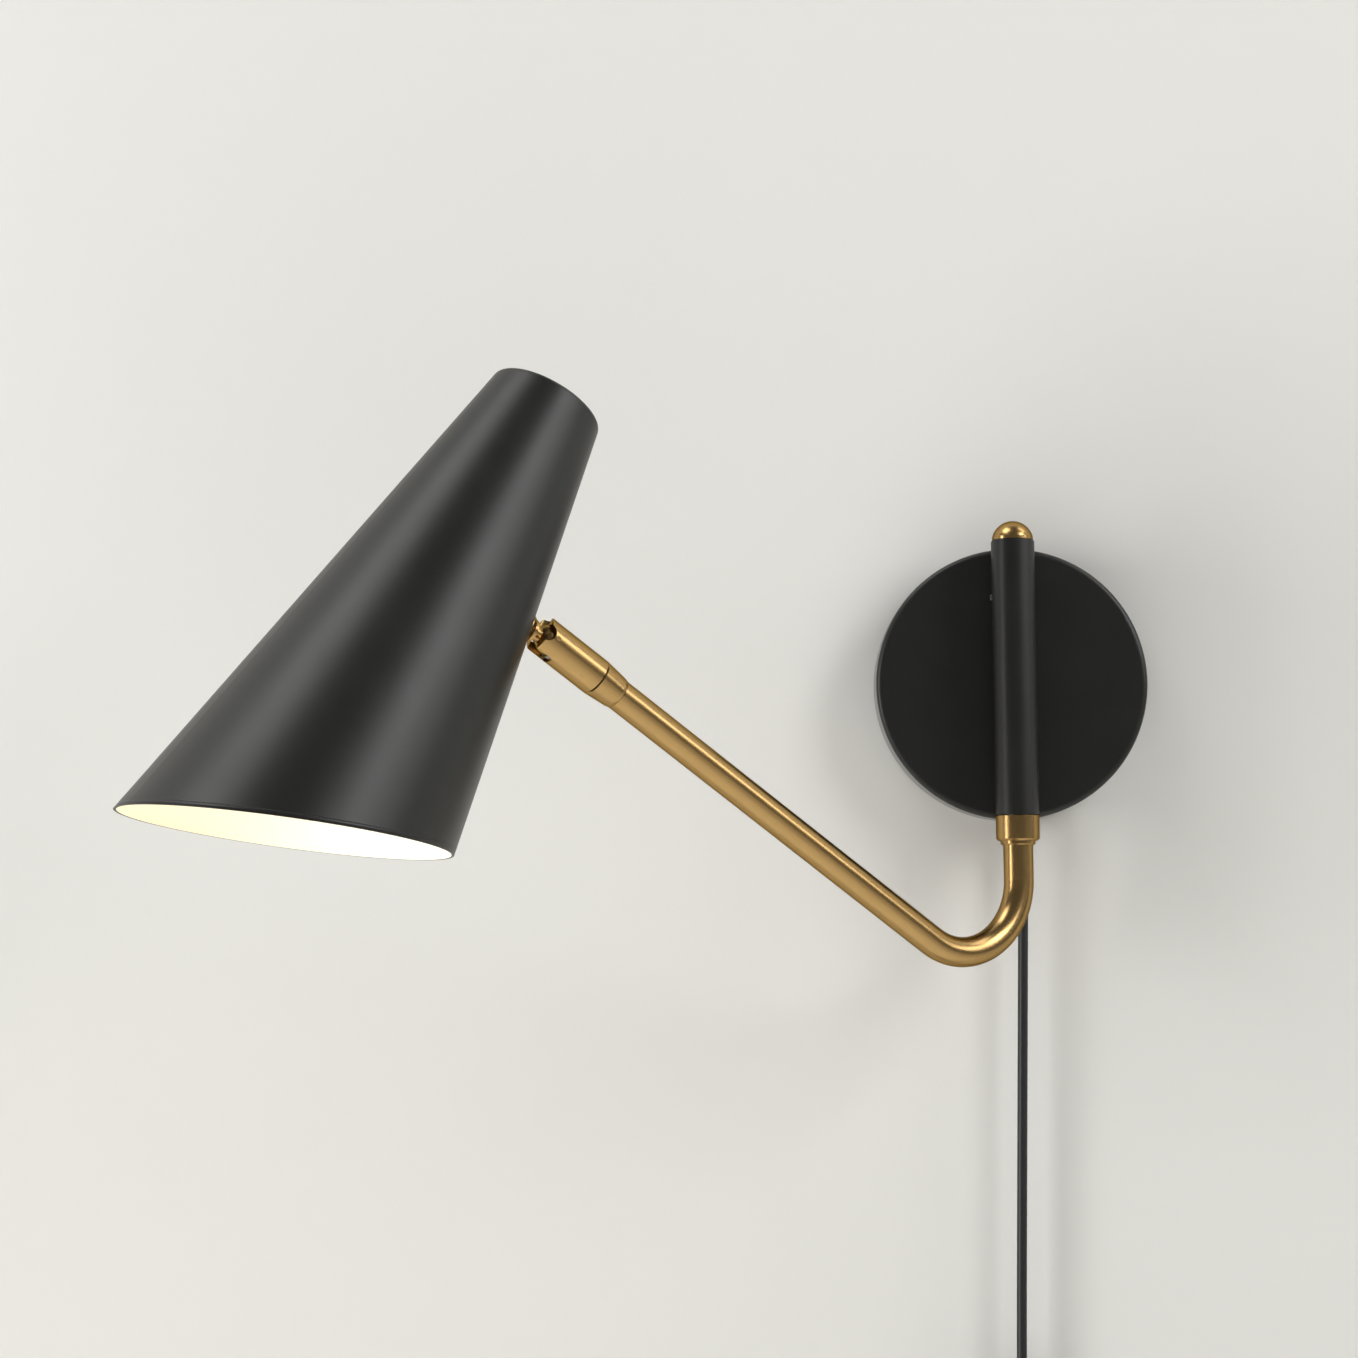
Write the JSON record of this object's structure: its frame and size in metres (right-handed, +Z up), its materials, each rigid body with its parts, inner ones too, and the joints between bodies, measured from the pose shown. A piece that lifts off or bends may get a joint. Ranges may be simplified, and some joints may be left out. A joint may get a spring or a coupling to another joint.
{
  "type": "swing arm wall sconce",
  "caption": "Swing arm wall sconce: round wall plate, swinging bent arm, rolling and tilting knuckle, slanted conical shade, and a mains cord with an in-line switch and plug.",
  "frame": {"origin": "centre of the wall plate's back face, on the wall", "axes": "+X along the wall, to the right as seen from the room; +Y square into the wall; +Z up"},
  "size_m": [0.4228, 0.2915, 0.6131],
  "materials": {
    "black_enamel": "satin black powder coat",
    "shade_enamel": "satin black outside, warm white inside",
    "brass": "satin, lacquered, softly aged",
    "zinc_steel": "zinc plated",
    "bright_steel": "ground",
    "white_nylon": "moulded",
    "black_plastic": "fine moulded grain",
    "black_pvc": "soft satin",
    "wire_insulation": "plain insulation",
    "lamp_metal": "nickel plated",
    "opal_glass": "opal, lit"
  },
  "bodies": {
    "wall_mount": {"wall_bracket": "zinc_steel", "canopy": "black_enamel", "canopy_screws": "black_enamel", "backing_strap": "zinc_steel", "sleeve_spacers": "black_enamel", "hollow_nipple": "zinc_steel", "nipple_washer": "zinc_steel", "nipple_nut": "zinc_steel", "steady_screws": "zinc_steel", "pivot_sleeve": "black_enamel", "upper_bush": "black_plastic", "lower_bush": "black_plastic", "stop_screw": "zinc_steel", "terminal_block": "white_nylon", "terminal_screws": "zinc_steel", "cord_clamp_base": "white_nylon", "cord_clamp_bar": "white_nylon", "cord_clamp_screws": "zinc_steel", "strain_relief": "black_pvc", "cord_entry": "black_pvc", "mains_cord": "black_pvc", "coil_leads": "black_pvc", "cord_coil": "black_pvc", "coil_tie": "black_pvc", "switch_back": "black_plastic", "switch_front": "black_plastic", "switch_screws": "zinc_steel", "plug_body": "black_plastic", "plug_pins": "brass", "canopy_wires": "wire_insulation"},
    "rocker": {"switch_rocker": "black_plastic"},
    "arm": {"spindle": "bright_steel", "ring_collar": "brass", "dome_cap": "brass", "wave_washer": "zinc_steel", "stop_collar": "bright_steel", "arm_tube": "brass", "arm_wires": "wire_insulation", "knuckle_collar": "brass", "swivel_spindle": "brass"},
    "knuckle": {"knuckle_housing": "brass", "knuckle_bush": "white_nylon", "roll_washer": "zinc_steel", "friction_springs": "bright_steel", "friction_cup": "white_nylon", "pivot_pins": "brass"},
    "shade_head": {"swivel_ball": "brass", "shade_boss": "brass", "shade": "shade_enamel", "inner_saddle": "zinc_steel", "holder_bracket": "zinc_steel", "stem_nut": "zinc_steel", "holder_nipple": "zinc_steel", "holder_nut": "zinc_steel", "holder_cap": "black_plastic", "holder_body": "black_plastic", "screw_shell": "lamp_metal", "lamp_glass": "opal_glass", "lamp_cap": "lamp_metal", "shade_wires": "wire_insulation"}
  },
  "joints": [
    {"name": "arm_swing", "type": "hinge", "parent": "wall_mount", "child": "arm", "pos_m": [0, -0.0355, 0], "axis": [0, 0, 1], "range_deg": [-25, 139]},
    {"name": "knuckle_roll", "type": "hinge", "parent": "arm", "child": "knuckle", "pos_m": [-0.19912, -0.16481, 0.01059], "axis": [-0.7034, -0.4568, 0.5446], "range_deg": [-170, 170]},
    {"name": "shade_tilt", "type": "hinge", "parent": "knuckle", "child": "shade_head", "pos_m": [-0.19912, -0.16481, 0.01059], "axis": [0.5446, -0.8387, 0], "range_deg": [-45, 65]},
    {"name": "switch_press", "type": "hinge", "parent": "wall_mount", "child": "rocker", "pos_m": [-0.0006, -0.0144, -0.333], "axis": [1, 0, 0], "range_deg": [0, 14]}
  ]
}
